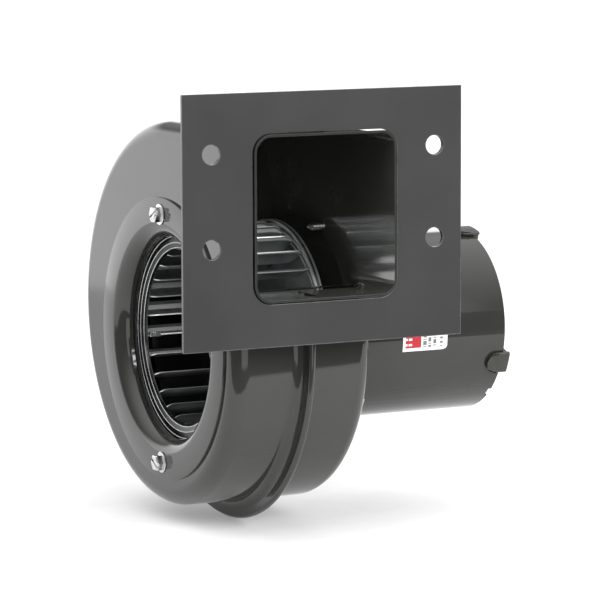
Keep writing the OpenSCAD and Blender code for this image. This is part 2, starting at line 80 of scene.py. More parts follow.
# Driving dimensions, taken from the CAD frame
SHAFT = Vector(frame["joints"][0]["pos_m"]) / MM
INLET_X = box_mm("scroll_inlet_half")[0].x
MOTOR_X = box_mm("scroll_motor_half")[1].x
PLATE_X = box_mm("motor_plate")[1].x
FLANGE_BACK_Y = box_mm("outlet_flange")[1].y
RING_R = box_mm("inlet_ring")[1].y - SHAFT.y
SHELL_R = box_mm("motor_shell")[1].y - SHAFT.y
WHEEL_R = box_mm("wheel_inlet_rim")[1].y - SHAFT.y
# Thickness of the housing's sheets
SHEET = 1.0
# Radius of the circle that the ring's and the plate's screws lie on
SCREW_CIRCLE_R = 53.1


# Materials --------------------------------------------------------------------------------


def ramp(tree, factor, stops):
    """A colour ramp from (position, colour) stops; grey stops may be given as numbers."""
    node = tree.nodes.new("ShaderNodeValToRGB")
    elements = node.color_ramp.elements
    while len(elements) < len(stops):
        elements.new(0.5)
    for element, (position, value) in zip(elements, stops):
        element.position = position
        element.color = (*value, 1) if isinstance(value, tuple) else (value, value, value, 1)
    tree.links.new(factor, node.inputs[0])
    return node.outputs[0]


def pattern(tree, kind, scale, stretch=(1, 1, 1), detail=3.0):
    """A noise or band pattern over the piece's own coordinates, about 0 to 1."""
    coordinates = tree.nodes.new("ShaderNodeTexCoord")
    mapping = tree.nodes.new("ShaderNodeMapping")
    mapping.inputs["Scale"].default_value = stretch
    tree.links.new(coordinates.outputs["Object"], mapping.inputs["Vector"])
    if kind == "bands":
        node = tree.nodes.new("ShaderNodeTexWave")
        node.bands_direction = "X"
        node.inputs["Distortion"].default_value = 0.6
    else:
        node = tree.nodes.new("ShaderNodeTexNoise")
        node.inputs["Detail"].default_value = detail
    node.inputs["Scale"].default_value = scale
    tree.links.new(mapping.outputs["Vector"], node.inputs["Vector"])
    return node.outputs["Fac"]


def finish(name, dark, light, rough, metallic=0.0, kind="noise", scale=60.0, stretch=(1, 1, 1),
           bump=0.1, bump_scale=500.0, bump_height=0.1, specular=0.5):
    """A surface whose colour runs from dark to light over a pattern, with its roughness
    varied over the same pattern and a fine bump."""
    material = bpy.data.materials.new(name)
    material.use_nodes = True
    tree = material.node_tree
    shader = tree.nodes["Principled BSDF"]
    shader.inputs["Metallic"].default_value = metallic
    shader.inputs["Specular IOR Level"].default_value = specular
    shade = pattern(tree, kind, scale, stretch)
    tree.links.new(ramp(tree, shade, [(0.3, dark), (0.7, light)]), shader.inputs["Base Color"])
    tree.links.new(ramp(tree, shade, [(0.25, rough[0]), (0.75, rough[1])]),
                   shader.inputs["Roughness"])
    relief = tree.nodes.new("ShaderNodeBump")
    relief.inputs["Strength"].default_value = bump
    relief.inputs["Distance"].default_value = bump_height * MM
    tree.links.new(pattern(tree, "noise", bump_scale, stretch, 2.0), relief.inputs["Height"])
    tree.links.new(relief.outputs[0], shader.inputs["Normal"])
    return material


def grey(value, tint=(1, 1, 1)):
    """A grey of that level, tinted."""
    return tuple(value * t for t in tint)


# Tints of the zinc, the enamel and the wheel's steel
GREEN = (0.96, 1.0, 0.97)
ENAMEL = (0.95, 1.0, 0.88)
TEAL = (0.9, 1.0, 0.98)

# Finish of each material slot
FINISHES = {
    "housing_enamel": finish("housing_enamel", grey(0.026, ENAMEL), grey(0.031, ENAMEL),
                             (0.05, 0.1), scale=25, bump=0.05, bump_scale=420, specular=0.6),
    # Painted light: the housing's enamel made lighter for the outlet flange
    "flange_enamel": finish("flange_enamel", grey(0.04), grey(0.046), (0.2, 0.27),
                            scale=22, bump=0.06, bump_scale=420, specular=0.6),
    "motor_enamel": finish("motor_enamel", grey(0.025, ENAMEL), grey(0.03, ENAMEL),
                           (0.06, 0.11), scale=30, bump=0.05, bump_scale=420, specular=0.5),
    "zinc_plate": finish("zinc_plate", grey(0.56, GREEN), grey(0.7), (0.16, 0.3), 1.0,
                         scale=260, bump=0.12, bump_scale=900),
    "shield_steel": finish("shield_steel", grey(0.3), grey(0.42), (0.3, 0.45), 1.0,
                           scale=120, bump=0.1),
    "sintered_bronze": finish("sintered_bronze", (0.42, 0.25, 0.12), (0.55, 0.36, 0.18),
                              (0.35, 0.55), 1.0, scale=900, bump=0.3, bump_scale=1500),
    "oil_felt": finish("oil_felt", (0.3, 0.26, 0.18), (0.45, 0.4, 0.3), (0.85, 1.0),
                       scale=500, bump=0.7, bump_scale=1400),
    "spring_steel": finish("spring_steel", grey(0.5), grey(0.66), (0.2, 0.32), 1.0,
                           scale=200, bump=0.1),
    "lamination_steel": finish("lamination_steel", grey(0.2), grey(0.42), (0.35, 0.5), 1.0,
                               kind="bands", scale=420, bump=0.15),
    "nylon": finish("nylon", (0.62, 0.6, 0.52), (0.74, 0.72, 0.64), (0.4, 0.55),
                    scale=80, bump=0.1),
    "copper_winding": finish("copper_winding", (0.36, 0.12, 0.04), (0.62, 0.26, 0.1),
                             (0.22, 0.36), 1.0, scale=300, bump=0.2, bump_scale=900),
    "copper": finish("copper", (0.6, 0.3, 0.17), (0.74, 0.42, 0.26), (0.25, 0.4), 1.0,
                     scale=200, bump=0.1),
    "black_plastic": finish("black_plastic", grey(0.02), grey(0.035), (0.4, 0.55),
                            scale=120, bump=0.2),
    "black_rubber": finish("black_rubber", grey(0.012), grey(0.022), (0.6, 0.75),
                           scale=150, bump=0.25),
    "olive_plastic": finish("olive_plastic", (0.016, 0.017, 0.012), (0.026, 0.027, 0.02),
                            (0.28, 0.4), scale=150, bump=0.15),
    "label_film": finish("label_film", grey(0.84), grey(0.92), (0.3, 0.4),
                         scale=90, bump=0.04),
    "ground_steel": finish("ground_steel", grey(0.5), grey(0.68), (0.14, 0.24), 1.0,
                           scale=90, stretch=(30, 1, 1), bump=0.08),
    "galvanised_steel": finish("galvanised_steel", grey(0.55, GREEN), grey(0.8, GREEN),
                               (0.14, 0.24), 1.0, scale=160, bump=0.1),
    "hub_steel": finish("hub_steel", grey(0.34), grey(0.48), (0.3, 0.42), 1.0,
                        scale=120, bump=0.12),
    "black_oxide": finish("black_oxide", grey(0.06), grey(0.1), (0.35, 0.5), 0.8,
                          scale=200, bump=0.1),
    "cast_aluminium": finish("cast_aluminium", grey(0.55), grey(0.72), (0.4, 0.55), 1.0,
                             scale=300, bump=0.35, bump_scale=700),
}

# Finish of the rounded edges of a slot's pieces
WORN = {
    "housing_enamel": finish("housing_edge", grey(0.03), grey(0.07), (0.12, 0.3), scale=90,
                             bump=0.1),
    "flange_enamel": finish("flange_edge", grey(0.05), grey(0.1), (0.2, 0.35), scale=90,
                            bump=0.1),
    "motor_enamel": finish("motor_edge", grey(0.03), grey(0.08), (0.15, 0.3), scale=90,
                           bump=0.1),
    "olive_plastic": finish("clip_edge", (0.03, 0.03, 0.022), (0.06, 0.06, 0.045), (0.3, 0.45),
                            scale=150, bump=0.1),
    "zinc_plate": finish("zinc_edge", grey(0.7), grey(0.85), (0.2, 0.35), 1.0, scale=200,
                         bump=0.1),
    "shield_steel": finish("shield_edge", grey(0.45), grey(0.6), (0.3, 0.4), 1.0, scale=200,
                           bump=0.1),
    "ground_steel": finish("shaft_edge", grey(0.6), grey(0.8), (0.2, 0.3), 1.0, scale=200,
                           bump=0.1),
    "hub_steel": finish("hub_edge", grey(0.5), grey(0.65), (0.3, 0.4), 1.0, scale=200,
                        bump=0.1),
    "black_oxide": finish("oxide_edge", grey(0.12), grey(0.22), (0.3, 0.45), 0.9, scale=200,
                          bump=0.1),
    "spring_steel": finish("spring_edge", grey(0.7), grey(0.85), (0.2, 0.3), 1.0, scale=200,
                           bump=0.1),
}

# Finishes of single parts of a piece
# Painted fill light: the housing's enamel made lighter for the inside of the scroll and the
# plate's inner face
SCROLL_INSIDE_PAINTED_LIGHT = finish("scroll_inside_painted_light", grey(0.06, ENAMEL), grey(0.068, ENAMEL), (0.08, 0.13),
                       scale=30, bump=0.06, specular=1.0)
# Painted shade: a dark matte band on the neck behind the flange, where the gap lies in shade
NECK_PAINTED_SHADE = finish("neck_painted_shade", grey(0.012), grey(0.02), (0.7, 0.9), scale=90, specular=0.05)
BLADE_STEEL = finish("blade_steel", grey(0.34, TEAL), grey(0.44, TEAL), (0.3, 0.42), 0.85,
                     scale=160, bump=0.1)
# Painted shade: dark steel for the back disc's inner face between its beads and for the groove in
# its band
DISC_PAINTED_SHADE = finish("disc_painted_shade", grey(0.1, TEAL), grey(0.18, TEAL), (0.25, 0.4), 0.9,
                    scale=160, bump=0.1)
RIM_STEEL = finish("rim_steel", grey(0.5, GREEN), grey(0.72, GREEN), (0.28, 0.42), 0.8,
                   scale=160, bump=0.1)
# Painted shade: dark steel for the inlet rim's face between its beads
RIM_PAINTED_SHADE = finish("rim_painted_shade", grey(0.03, GREEN), grey(0.06, GREEN), (0.2, 0.35), 0.9,
                   scale=160, bump=0.1)
# Painted highlights: bright steel for the blades' root and tip edges and for two strips on each
# blade's hollow side
BLADE_HOLLOW_HIGHLIGHT = finish("blade_hollow_highlight", grey(0.8), grey(0.9), (0.3, 0.4), 0.35, scale=220, bump=0.1)
BLADE_EDGE_HIGHLIGHT = finish("blade_edge_highlight", grey(0.8), grey(0.92), (0.3, 0.45), 0.75, scale=220, bump=0.1)
LABEL_RED = finish("label_red", (0.42, 0.012, 0.02), (0.5, 0.02, 0.03), (0.3, 0.4), bump=0.04)
LABEL_GREY = finish("label_grey", grey(0.1), grey(0.18), (0.3, 0.4), bump=0.04)

# CAD nodes of each material slot
SLOT_NODES = {
    "housing_enamel": ["scroll_inlet_half", "scroll_motor_half", "neck_weld_beads",
                       "motor_plate", "inlet_ring"],
    "flange_enamel": ["outlet_flange"],
    "motor_enamel": ["motor_shell", "rear_end_shield"],
    "zinc_plate": ["inlet_ring_screws", "motor_plate_screws", "through_bolts",
                   "through_bolt_nuts"],
    "shield_steel": ["front_end_shield"],
    "sintered_bronze": ["front_bearing", "rear_bearing"],
    "oil_felt": ["front_oil_felt", "rear_oil_felt"],
    "spring_steel": ["front_felt_retainer", "rear_felt_retainer", "wheel_balance_clips"],
    "lamination_steel": ["stator_core", "rotor_core"],
    "nylon": ["coil_bobbins", "front_thrust_washer", "rear_thrust_washer"],
    "copper_winding": ["stator_coils"],
    "copper": ["shading_rings"],
    "black_plastic": ["thermal_protector"],
    "black_rubber": ["lead_grommet"],
    "olive_plastic": ["end_clips"],
    "label_film": ["rating_label"],
    "ground_steel": ["shaft"],
    "galvanised_steel": ["wheel_blades", "wheel_inlet_rim", "wheel_back_disc"],
    "hub_steel": ["wheel_hub"],
    "black_oxide": ["hub_set_screw", "shaft_retaining_rings"],
    "cast_aluminium": ["rotor_cage"],
}
NODE_SLOT = {node: slot for slot, nodes in SLOT_NODES.items() for node in nodes}


# Mesh building ----------------------------------------------------------------------------


def round_shaft(x, radius, angle):
    """The point at x, at that radius and angle round the shaft."""
    a = math.radians(angle)
    return Vector((x, SHAFT.y + radius * math.cos(a), SHAFT.z + radius * math.sin(a)))


def add_piece(name, bm, node, body="housing", materials=None):
    """Makes a piece from a mesh in millimetres, standing for a CAD node and moving with it."""
    bmesh.ops.scale(bm, vec=(MM, MM, MM), verts=bm.verts)
    bmesh.ops.recalc_face_normals(bm, faces=bm.faces)
    mesh = bpy.data.meshes.new(name)
    bm.to_mesh(mesh)
    bm.free()
    for material in materials or [FINISHES[NODE_SLOT[node]]]:
        mesh.materials.append(material)
    mesh.polygons.foreach_set("use_smooth", [True] * len(mesh.polygons))
    mesh.set_sharp_from_angle(angle=SHARP_ANGLE)
    piece = bpy.data.objects.new(name, mesh)
    scene.collection.objects.link(piece)
    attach(piece, body)
    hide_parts(node)
    return piece


def arc_points(x, radius, r, first, last, count):
    """Points on an arc of radius r centred at (x, radius), from angle first to last."""
    step = (last - first) / count
    angles = [math.radians(first + i * step) for i in range(count + 1)]
    return [(x + r * math.cos(a), radius + r * math.sin(a)) for a in angles]


def loop_strip(bm, rings, closed):
    """Faces between successive rings of vertices, capped at both ends unless closed."""
    pairs = list(zip(rings, rings[1:] + rings[:1])) if closed else list(zip(rings, rings[1:]))
    for ring, following in pairs:
        for i in range(len(ring)):
            j = (i + 1) % len(ring)
            bm.faces.new((ring[i], ring[j], following[j], following[i]))
    if not closed:
        bm.faces.new(rings[0])
        bm.faces.new(reversed(rings[-1]))


def revolve(bm, profile, steps):
    """Turns a closed outline of (x, radius) points about the shaft."""
    rings = []
    for i in range(steps):
        angle = 360 * i / steps
        rings.append([bm.verts.new(round_shaft(x, r, angle)) for x, r in profile])
    loop_strip(bm, rings, True)


def lathe(bm, profile, place, steps=40):
    """Turns an outline of (radius, height) points about place's Z axis. The outline's ends
    lie on that axis."""
    rows = []
    for radius, height in profile:
        if radius < 1e-6:
            rows.append([bm.verts.new(place @ Vector((0, 0, height)))])
            continue
        row = []
        for i in range(steps):
            a = 2 * math.pi * i / steps
            point = Vector((radius * math.cos(a), radius * math.sin(a), height))
            row.append(bm.verts.new(place @ point))
        rows.append(row)
    for low, high in zip(rows, rows[1:]):
        for i in range(steps):
            j = (i + 1) % steps
            corners = [low[i % len(low)], low[j % len(low)],
                       high[j % len(high)], high[i % len(high)]]
            distinct = list(dict.fromkeys(corners))
            bm.faces.new(distinct)


def softened(node, width, body="housing", segments=2, splits=()):
    """A copy of a CAD node's mesh with its sharp edges rounded and the rounding worn. Each
    (axis, position) in splits cuts its faces in two along that plane."""
    bm = bmesh.new()
    bm.from_mesh(frame["nodes"][node].data)
    bmesh.ops.remove_doubles(bm, verts=bm.verts, dist=1e-6)
    bmesh.ops.dissolve_limit(bm, angle_limit=math.radians(0.3), verts=bm.verts, edges=bm.edges)
    bmesh.ops.scale(bm, vec=(1 / MM, 1 / MM, 1 / MM), verts=bm.verts)
    for axis, position in splits:
        normal = Vector([float(i == axis) for i in range(3)])
        geometry = bm.verts[:] + bm.edges[:] + bm.faces[:]
        bmesh.ops.bisect_plane(bm, geom=geometry, plane_co=normal * position, plane_no=normal)
    slot = NODE_SLOT[node]
    piece = add_piece(node + "_formed", bm, node, body, [FINISHES[slot], WORN[slot]])
    bevel = piece.modifiers.new("edges", "BEVEL")
    bevel.width = width * MM
    bevel.segments = segments
    bevel.limit_method = "ANGLE"
    bevel.angle_limit = SHARP_ANGLE
    bevel.use_clamp_overlap = False
    bevel.material = 1
    normals = piece.modifiers.new("normals", "WEIGHTED_NORMAL")
    normals.weight = 80
    normals.keep_sharp = True
    return piece


# Housing ----------------------------------------------------------------------------------

# Painted shade: the neck's outside is painted dark up to this Y, wherever X is under the next
# value
PAINTED_SHADE_Y = 6.0
PAINTED_SHADE_X = 19.0
# Y where the neck passes into the scroll
NECK_Y = 30
# Faces across X belong to the halves' flat sides past this distance from the seam
SIDE_X = 28


def build_housing():
    """The two scroll halves, the flange, the motor plate and the beads that join them."""
    for node in ("scroll_inlet_half", "scroll_motor_half"):
        half = softened(node, 0.12, splits=((1, PAINTED_SHADE_Y), (0, PAINTED_SHADE_X)))
        # Faces inside the scroll get the enamel painted lighter as fill light, and the neck behind
        # the flange gets painted shade
        half.data.materials.append(SCROLL_INSIDE_PAINTED_LIGHT)
        half.data.materials.append(NECK_PAINTED_SHADE)
        for face in half.data.polygons:
            face.material_index = scroll_part(face.center / MM, face.normal)
    softened("outlet_flange", 0.3, segments=3)
    plate = softened("motor_plate", 0.3)
    # The plate's face inside the scroll gets the lighter enamel, painted fill light
    plate.data.materials.append(SCROLL_INSIDE_PAINTED_LIGHT)
    for face in plate.data.polygons:
        face.material_index = 2 if face.normal.x < -0.9 else 0
    build_weld_beads()


def scroll_part(centre, normal):
    """Material of a face of a scroll half: 0 outside, 2 inside, enamel painted lighter as fill
    light, 3 the neck by the weld, painted dark as shade.
    """
    if abs(normal.x) > 0.9:
        inside = abs(centre.x) > SIDE_X and normal.x * centre.x < 0
    else:
        inward = normal.y * (SHAFT.y - centre.y) + normal.z * (SHAFT.z - centre.z)
        inside = inward > 0 and abs(normal.y) < 0.9
    if centre.y < NECK_Y and abs(normal.y) < 0.5:
        toward_middle = -normal.x * centre.x - normal.z * centre.z
        inside = toward_middle > 0
        if centre.y < PAINTED_SHADE_Y and centre.x < PAINTED_SHADE_X and not inside:
            return 3
    return 2 if inside else 0


def build_weld_beads():
    """Rippled beads in the corner behind the flange, two on either side of the neck."""
    low, high = box_mm("neck_weld_beads")
    bm = bmesh.new()
    length = 16.0
    steps = 48
    leg = 1.5
    for side, corner_x in ((-1, INLET_X), (1, MOTOR_X)):
        for start in (low.z, high.z - length):
            rings = []
            for i in range(steps + 1):
                z = start + length * i / steps
                taper = min(1.0, 4.0 * min(i, steps - i) / steps + 0.25)
                ripple = 0.86 + 0.14 * math.sin(i * 1.3)
                size = leg * taper * ripple
                ring = [bm.verts.new((corner_x, FLANGE_BACK_Y, z))]
                for k in range(7):
                    a = math.radians(90 * k / 6)
                    reach = size * (0.8 + 0.2 * abs(math.cos(2 * a)))
                    ring.append(bm.verts.new((corner_x + side * reach * math.cos(a),
                                              FLANGE_BACK_Y + reach * math.sin(a), z)))
                rings.append(ring)
            loop_strip(bm, rings, False)
    add_piece("weld_beads_rippled", bm, "neck_weld_beads")


def build_inlet_ring():
    """The ring and its bell-mouth, one sheet with a soft outer edge."""
    throat, bell = 43.3, 6.7
    soft = 0.2
    front_x = INLET_X - SHEET
    centre = throat + bell
    outer = arc_points(front_x + bell, centre, bell, 180, 270, 22)
    inner = arc_points(front_x + bell, centre, bell - SHEET, 270, 180, 22)
    edge = arc_points(front_x + soft, RING_R - soft, soft, 90, 180, 3)
    bm = bmesh.new()
    revolve(bm, [(INLET_X, RING_R)] + edge + outer + inner, steps=240)
    add_piece("inlet_bell_mouth", bm, "inlet_ring")


# Fasteners --------------------------------------------------------------------------------


def hex_reach(angle, across):
    """Distance from the axis to the side of a hexagon of that width across its flats."""
    turned = (angle + 30) % 60 - 30
    return across / 2 / math.cos(math.radians(turned))


def head_outline(side, shrink, limit, slot_w, across, steps=48):
    """Points round the half of a slotted hexagon head on one side of its slot. The hexagon is
    drawn in by shrink and cut to a circle of radius limit."""
    points = []
    for i in range(steps + 1):
        angle = 180 * i / steps
        reach = min(hex_reach(angle, across) - shrink, limit)
        a = math.radians(angle)
        x, y = reach * math.cos(a), reach * math.sin(a)
        points.append((side * x, side * max(y, slot_w / 2)))
    return points


def add_prism(bm, place, levels):
    """A solid through outlines, each given with its height above place's XY plane."""
    rings = [[bm.verts.new(place @ Vector((x, y, height))) for x, y in outline]
             for outline, height in levels]
    loop_strip(bm, rings, False)


def add_hex_screw(bm, place, length):
    """A slotted hexagon washer-head screw whose washer sits on place's XY plane. Its head
    has a chamfered top, its washer a soft edge and its shank a rolled thread."""
    washer_r, hexagon, top = 4.5, 6.35, 3.7
    slot_w, slot_h = 1.1, 1.3
    shank, pitch = 2.05, 0.7
    profile = [(0, -length), (0.5, -length + 0.3)]
    z = -length + 2.0
    while z < -0.6:
        profile += [(shank - pitch / 2, z), (shank, z + pitch / 2)]
        z += pitch
    profile += [(shank, 0), (washer_r - 0.2, 0), (washer_r, 0.2), (washer_r, 0.45),
                (washer_r - 0.2, 0.6), (0, 0.8)]
    lathe(bm, profile, place)
    floor = top - slot_h
    uncut = hexagon
    whole = [point for side in (1, -1)
             for point in head_outline(side, 0, uncut, 0, hexagon)[:-1]]
    add_prism(bm, place, [(whole, 0.5), (whole, floor)])
    levels = ((floor - 0.05, 0, uncut), (top - 0.45, 0, uncut), (top - 0.12, 0.12, 3.38),
              (top, 0.3, 3.1))
    for side in (1, -1):
        add_prism(bm, place, [(head_outline(side, shrink, limit, slot_w, hexagon), height)
                              for height, shrink, limit in levels])


def ring_screw_place(angle):
    """Frame of a ring screw: Z out of the inlet, on the screw circle."""
    turn = Matrix.Rotation(math.radians(-angle), 4, "X")
    out = Matrix.Rotation(math.radians(-90), 4, "Y")
    seat = Matrix.Translation(Vector((INLET_X - SHEET, SHAFT.y, SHAFT.z)))
    return seat @ turn @ Matrix.Translation(Vector((0, -SCREW_CIRCLE_R, 0))) @ out


def plate_screw_place(angle):
    """Frame of a motor plate screw: Z along +X, on the screw circle."""
    seat = Matrix.Translation(round_shaft(PLATE_X, SCREW_CIRCLE_R, angle))
    return seat @ Matrix.Rotation(math.radians(90), 4, "Y")


def build_screws():
    """The ring's two screws, their slots turned differently, and the motor plate's four."""
    ring = [ring_screw_place(angle) @ Matrix.Rotation(math.radians(slot_turn), 4, "Z")
            for angle, slot_turn in ((90, 30), (-90, -30))]
    first_angle = 117.2
    plate = [plate_screw_place(first_angle + 90 * i) for i in range(4)]
    for name, node, places, length in (("ring_screws_slotted", "inlet_ring_screws", ring, 9.5),
                                       ("plate_screws_slotted", "motor_plate_screws", plate, 10)):
        bm = bmesh.new()
        for place in places:
            add_hex_screw(bm, place, length)
        add_piece(name, bm, node)


# Motor ------------------------------------------------------------------------------------


def build_motor():
    """The motor's outside, and the shaft with the hub and set screw that it carries."""
    softened("motor_shell", 0.22)
    softened("rear_end_shield", 0.25)
    softened("through_bolts", 0.2)
    softened("through_bolt_nuts", 0.2)
    softened("end_clips", 0.6, segments=3)
    softened("shaft", 0.4, "rotor")
    softened("wheel_hub", 0.4, "rotor")
    softened("hub_set_screw", 0.15, "rotor")
    build_grommet()
    build_label()


def build_grommet():
    """A rubber grommet with a rounded outer flange, a groove and an inner flange."""
    low, high = box_mm("lead_grommet")
    inside, outside = low.x, high.x
    shield = box_mm("rear_end_shield")[1].x
    outline = [(3.0, inside + 0.4), (3.2, inside), (5.9, inside), (6.2, inside + 0.3)]
    outline += [(6.1, inside + 1.5), (5.0, inside + 1.7), (5.0, shield), (6.3, shield + 0.05)]
    outline += [(6.5, shield + 0.4), (6.4, outside - 0.6), (5.8, outside - 0.1)]
    outline += [(4.4, outside), (3.3, outside - 0.4), (3.0, outside - 1.0)]
    centre_r, centre_angle = 26, 22.5
    centre = round_shaft(0, centre_r, centre_angle)
    steps = 64
    bm = bmesh.new()
    rings = []
    for i in range(steps):
        a = 2 * math.pi * i / steps
        rings.append([bm.verts.new((x, centre.y + r * math.cos(a), centre.z + r * math.sin(a)))
                      for r, x in outline])
    loop_strip(bm, rings, True)
    add_piece("grommet_moulded", bm, "lead_grommet")


def label_cell(x, row):
    """Material of one cell of the label: 0 film, 1 red, 2 grey. x runs from 0 to 1.

    From left to right the label has a broken red column, a red block, three columns of grey
    dashes and a narrow column of finer dashes."""
    if row < 3:
        return 0
    if 0.06 < x < 0.2:
        return 1 if row % 5 > 1 or 0.1 < x < 0.12 else 0
    if 0.21 < x < 0.41:
        return 1
    for start in (0.46, 0.57, 0.68):
        if start < x < start + 0.07:
            return 2 if (row * 3 + int(start * 50)) % 7 > 1 else 0
    if 0.83 < x < 0.9:
        return 2 if row % 4 > 1 else 0
    return 0


def build_label():
    """The rating label: a curved film, rounded at its right end, with plain printed blocks."""
    low_corner, high_corner = box_mm("rating_label")
    x0, x1 = low_corner.x, high_corner.x
    columns, rows = 88, 60
    inner, outer = SHELL_R + 0.02, SHELL_R + 0.2
    first, sweep = 190.5, -41.0
    corner = 2.0
    height = math.radians(abs(sweep)) * outer
    bm = bmesh.new()

    def at(i, j, radius):
        """A grid point, pulled in at the label's corners."""
        across = (x1 - x0) * i / columns
        along = height * j / rows
        near_end = min(along, height - along)
        if near_end < corner:
            inset = corner - math.sqrt(corner ** 2 - (corner - near_end) ** 2)
            across = (x1 - x0 - inset) * i / columns
        return round_shaft(x0 + across, radius, first + sweep * j / rows)

    grids = [[[bm.verts.new(at(i, j, radius)) for j in range(rows + 1)]
              for i in range(columns + 1)] for radius in (inner, outer)]
    low, high = grids
    for i in range(columns):
        for j in range(rows):
            face = bm.faces.new((high[i][j], high[i + 1][j], high[i + 1][j + 1], high[i][j + 1]))
            face.material_index = label_cell((i + 0.5) / columns, j)
            bm.faces.new((low[i][j], low[i][j + 1], low[i + 1][j + 1], low[i + 1][j]))
    border = [(i, 0) for i in range(columns)] + [(columns, j) for j in range(rows)]
    border += [(i, rows) for i in range(columns, 0, -1)] + [(0, j) for j in range(rows, 0, -1)]
    for (i, j), (k, m) in zip(border, border[1:] + border[:1]):
        bm.faces.new((low[i][j], low[k][m], high[k][m], high[i][j]))
    add_piece("label_printed", bm, "rating_label",
              materials=[FINISHES["label_film"], LABEL_RED, LABEL_GREY])


# Wheel ------------------------------------------------------------------------------------

BLADE_COUNT = 28
# Angle of the first blade
BLADE_PHASE = 7.5
# Radii of a blade's root and tip, and the circle that its section follows
BLADE_ROOT_R = 38.0
BLADE_TIP_R = 47.4
BLADE_CENTRE = (40.4, 7.6)
BLADE_CURVE = 8.0
# Steps across a blade from root to tip
BLADE_STEPS = 9
# Width along X of the bands round the wheel's two rims
RIM_BAND = 3.2


def blade_point(share):
    """A point on the blade's arc in the wheel's own plane, from its root 0 to its tip 1."""
    radius = BLADE_ROOT_R + (BLADE_TIP_R - BLADE_ROOT_R) * share
    x = radius
    for _ in range(3):
        y = BLADE_CENTRE[1] - math.sqrt(BLADE_CURVE ** 2 - (x - BLADE_CENTRE[0]) ** 2)
        x = math.sqrt(radius ** 2 - y ** 2)
    return x, y


def blade_row(x, narrow, offset, turn):
    """Points from root to tip across the blade at x, offset from its middle surface. Narrow is
    the share of its width that it loses there, and turn is the blade's angle."""
    points = []
    for i in range(BLADE_STEPS + 1):
        share = 0.5 + (i / BLADE_STEPS - 0.5) * (1 - narrow)
        px, py = blade_point(share)
        qx, qy = blade_point(min(1, share + 0.05))
        rx, ry = blade_point(max(0, share - 0.05))
        direction = Vector((qx - rx, qy - ry)).normalized()
        px += direction.y * offset
        py -= direction.x * offset
        angle = turn + math.degrees(math.atan2(py, px))
        points.append(round_shaft(x, math.hypot(px, py), angle))
    return points


def build_blades():
    """The blades: curved strips with rounded corners, whose ends run into the rims."""
    bm = bmesh.new()
    along = 40
    half_thickness = 0.25
    corner = 6.0
    into_rim = 0.1
    low, high = box_mm("wheel_blades")
    x0, x1 = low.x - into_rim, high.x + into_rim
    for blade in range(BLADE_COUNT):
        turn = BLADE_PHASE + blade * 360 / BLADE_COUNT
        rings = []
        for i in range(along + 1):
            x = x0 + (x1 - x0) * (0.5 - 0.5 * math.cos(math.pi * i / along))
            near_end = max(0.0, 1 - min(x - x0, x1 - x) / corner)
            narrow = 0.8 * near_end ** 1.8
            hollow, back = [[bm.verts.new(point) for point in blade_row(x, narrow, offset, turn)]
                            for offset in (-half_thickness, half_thickness)]
            rings.append(hollow + back[::-1])
        loop_strip(bm, rings, False)
    bm.verts.index_update()
    for face in bm.faces:
        face.material_index = blade_part(face)
    add_piece("blades_pressed", bm, "wheel_blades", "rotor",
              [BLADE_STEEL, BLADE_EDGE_HIGHLIGHT, BLADE_HOLLOW_HIGHLIGHT])


def blade_part(face):
    """Material of a blade's face: 0 plain, 1 a root or tip edge painted with a highlight, 2 two
    strips on its hollow side painted with highlights. The vertices were made in rows, by turns on
    the hollow side and the back."""
    row = BLADE_STEPS + 1
    places = {vertex.index % row for vertex in face.verts}
    hollow = all(vertex.index // row % 2 == 0 for vertex in face.verts)
    if len(places) == 1:
        return 1
    return 2 if hollow and places in ({6, 7}, {7, 8}) else 0


def face_radius(face):
    """Distance of a face's middle from the shaft."""
    centre = face.calc_center_median()
    return math.hypot(centre.y - SHAFT.y, centre.z - SHAFT.z)


def build_inlet_rim():
    """The wheel's inlet rim: a rolled outer band, and a face with three beads round the eye,
    painted dark as shade between the beads.
    """
    x = box_mm("wheel_inlet_rim")[0].x
    eye_r = 37.5
    beads = ((0.95, 38.3), (0.4, 40.5), (0.3, 43.2))
    outline = [(x + 2.2, eye_r)]
    for dx, radius in beads:
        outline += arc_points(x + dx, radius, 0.3, 290, 110, 8)
    outline += [(x, 44.2), (x, 46.6)] + arc_points(x + 0.8, WHEEL_R - 0.8, 0.8, 180, 90, 6)
    outline += arc_points(x + 2.0, WHEEL_R - 0.25, 0.25, 180, 0, 6)
    outline += [(x + RIM_BAND, WHEEL_R), (x + RIM_BAND, 47.7), (x + 1.3, 47.6), (x + 1.1, 46.0)]
    outline += [(x + 1.1, 41.5), (x + 1.5, 39.6)]
    bm = bmesh.new()
    revolve(bm, outline, steps=200)
    for face in bm.faces:
        radius = face_radius(face)
        on_bead = any(abs(radius - bead_radius) < 0.29 for dx, bead_radius in beads)
        face.material_index = 0 if on_bead or radius > 44 else 1
    add_piece("inlet_rim_rolled", bm, "wheel_inlet_rim", "rotor", [RIM_STEEL, RIM_PAINTED_SHADE])


